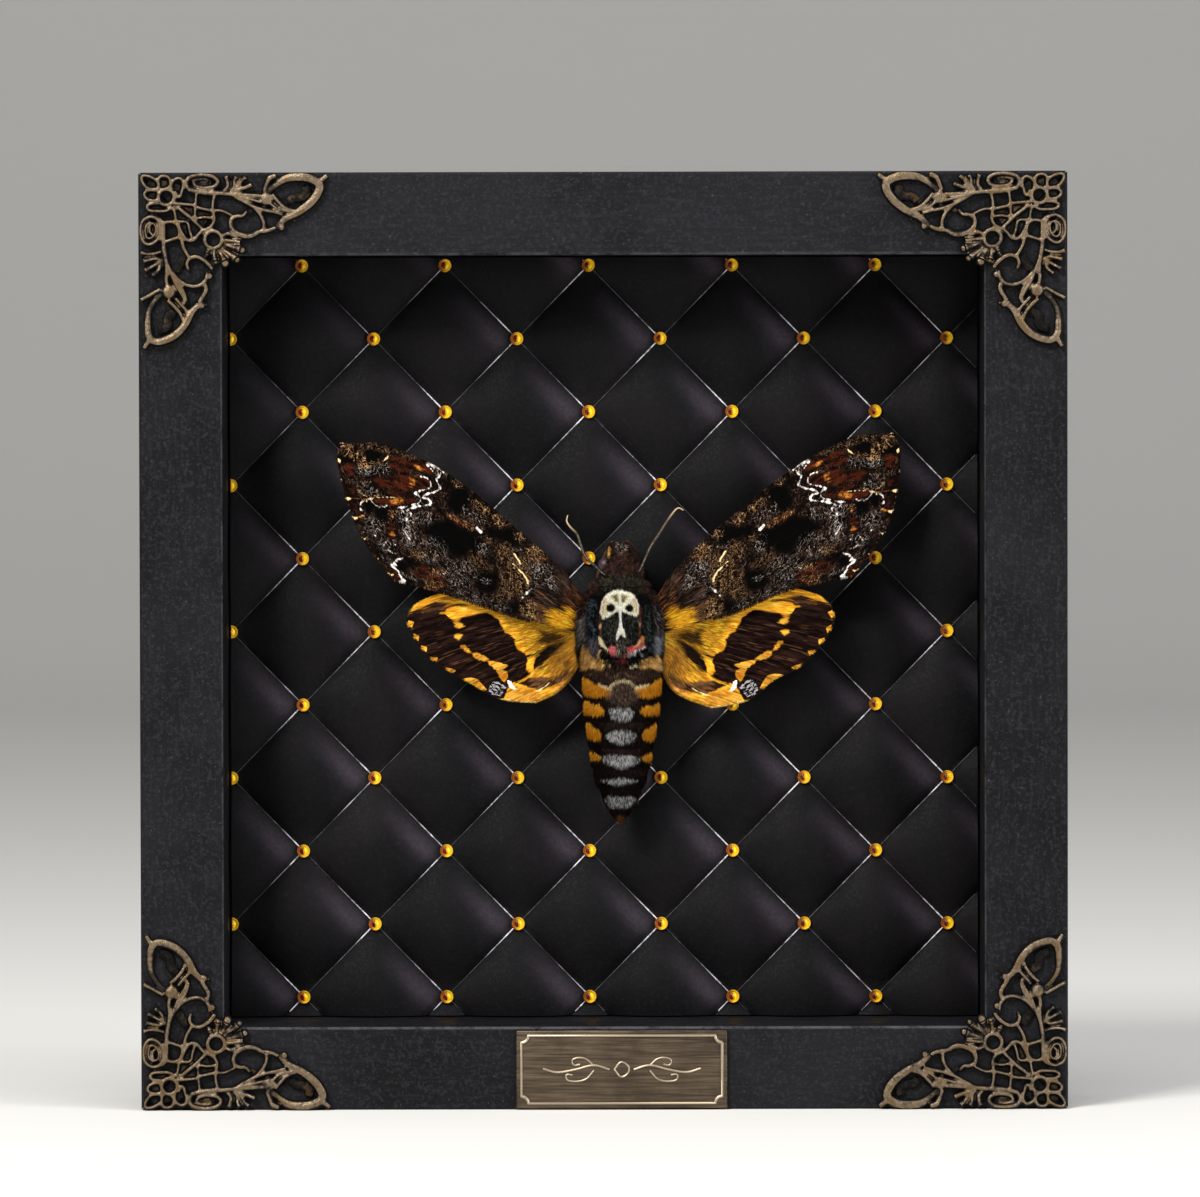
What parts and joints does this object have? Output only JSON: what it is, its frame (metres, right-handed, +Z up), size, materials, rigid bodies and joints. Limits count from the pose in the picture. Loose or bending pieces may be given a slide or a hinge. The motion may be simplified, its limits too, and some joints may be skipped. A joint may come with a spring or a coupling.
{
  "type": "mounted death's-head hawkmoth in a shadow-box frame",
  "caption": "Spread hawkmoth with a skull mark on its back, pinned on a quilted pad inside an open-fronted black shadow box with pierced bronze corners and a bare name plate.",
  "frame": {"origin": "middle of the box's footprint on the surface that it stands on, half way through its depth with the corner ornaments counted", "axes": "+Z up, -Y towards the viewer through the open front, +X to the viewer's right; the moth's head points up"},
  "size_m": [0.2, 0.042, 0.2022],
  "materials": {
    "black_wood": "satin black paint over brushed wood",
    "board": "dark fibreboard",
    "quilting": "black quilted leather-like pad with pale seams and amber buttons",
    "buttons": "amber domes with a golden rim",
    "bronze": "antique bronze, dark in the recesses",
    "plate_brass": "antique brushed brass",
    "steel": "plain pin steel",
    "fur": "dark velvety scale hair with a cream skull mark",
    "abdomen_fur": "short scale hair in yellow and dark bands with a blue-grey middle",
    "fore_scales": "mottled dark brown wing scales",
    "hind_scales": "orange-yellow and dark brown wing scales",
    "horn": "chitin with a dull gloss",
    "eye": "dry compound eye, dull pinkish grey"
  },
  "bodies": {
    "root": {"rail_top": "black_wood", "rail_bottom": "black_wood", "rail_left": "black_wood", "rail_right": "black_wood", "backboard": "board", "quilt": "quilting", "corner_top_left": "bronze", "corner_top_right": "bronze", "corner_bottom_left": "bronze", "corner_bottom_right": "bronze", "plaque": "plate_brass", "mount_pin": "steel", "head": "fur", "eye_left": "eye", "eye_right": "eye", "palp_left": "fur", "palp_right": "fur", "tongue": "horn", "antenna_left": "horn", "antenna_right": "horn", "thorax": "fur", "abdomen": "abdomen_fur", "forewing_left": "fore_scales", "forewing_right": "fore_scales", "hindwing_left": "hind_scales", "hindwing_right": "hind_scales", "leg_fore_left": "horn", "leg_fore_right": "horn", "leg_mid_left": "horn", "leg_mid_right": "horn", "leg_hind_left": "horn", "leg_hind_right": "horn"}
  },
  "joints": []
}
